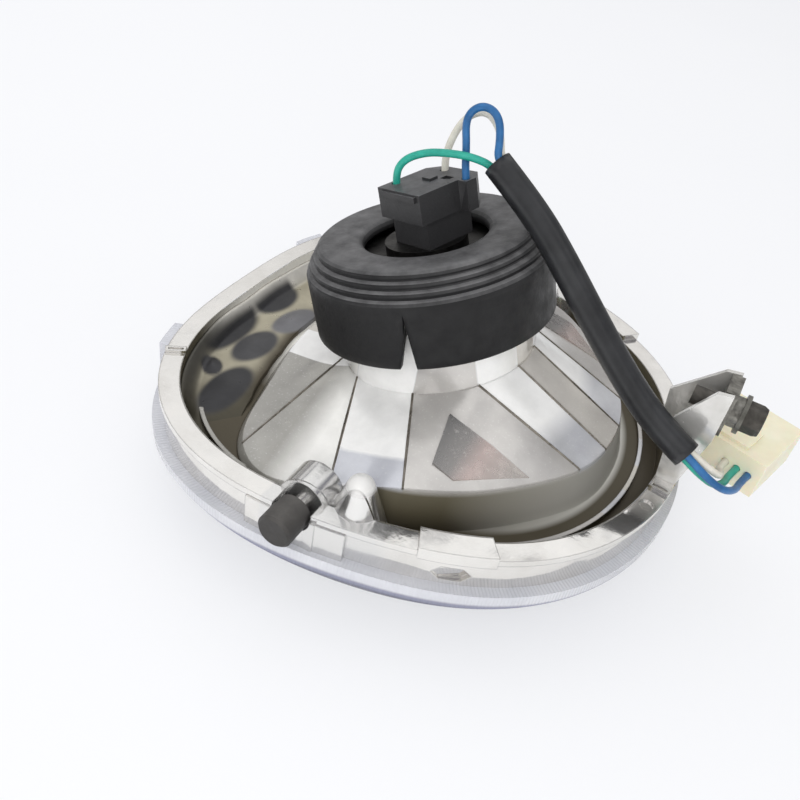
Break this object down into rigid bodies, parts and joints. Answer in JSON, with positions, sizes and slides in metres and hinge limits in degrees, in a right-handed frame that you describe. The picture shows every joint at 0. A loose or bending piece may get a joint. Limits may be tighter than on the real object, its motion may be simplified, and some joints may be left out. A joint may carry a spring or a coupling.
{
  "type": "motor scooter headlight",
  "caption": "Motor scooter headlight lying on its lens: metallised housing with raked neck, rubber boot, bulb socket, wire harness with plug, pivot studs and an adjuster bracket.",
  "frame": {"origin": "Middle of the bounding box without the harness, at the floor under the lens crown.", "axes": "+Z is the rim's normal, from the lens to the back; +X points to the adjuster bracket; the pivot studs lie along Y."},
  "size_m": [0.1911, 0.1758, 0.1193],
  "materials": {
    "lens_clear": "clear moulded plastic with fine flutes",
    "reflector": "bright metallised plastic",
    "boot_rubber": "soft black rubber, dusty",
    "bulb_metal": "plated steel",
    "bulb_glass": "clear glass",
    "blade_metal": "plated contact blades",
    "socket_plastic": "black moulded plastic",
    "sleeve_plastic": "black flexible tube",
    "wire_green": "green insulation",
    "wire_blue": "blue insulation",
    "wire_white": "white insulation",
    "plug_nylon": "cream nylon",
    "terminal_metal": "stamped terminals",
    "bracket_steel": "bright plated steel",
    "nut_steel": "black spring steel",
    "washer_steel": "black steel",
    "bolt_steel": "black steel",
    "stud_metal": "bright plated steel",
    "cap_rubber": "black rubber"
  },
  "bodies": {
    "root": {"lens": "lens_clear", "reflector_housing": "reflector", "rubber_boot": "boot_rubber", "bulb_base": "bulb_metal", "bulb_glass": "bulb_glass", "bulb_blades": "blade_metal", "bulb_connector": "socket_plastic", "harness_sleeve": "sleeve_plastic", "wire_green": "wire_green", "wire_blue": "wire_blue", "wire_white": "wire_white", "plug_housing": "plug_nylon", "plug_terminals": "terminal_metal", "adjuster_bracket": "bracket_steel", "clip_nut": "nut_steel", "bolt_washer": "washer_steel", "adjuster_bolt": "bolt_steel", "pivot_stud_a": "stud_metal", "pivot_stud_b": "stud_metal", "pivot_cap_a": "cap_rubber", "pivot_cap_b": "cap_rubber"}
  },
  "joints": []
}
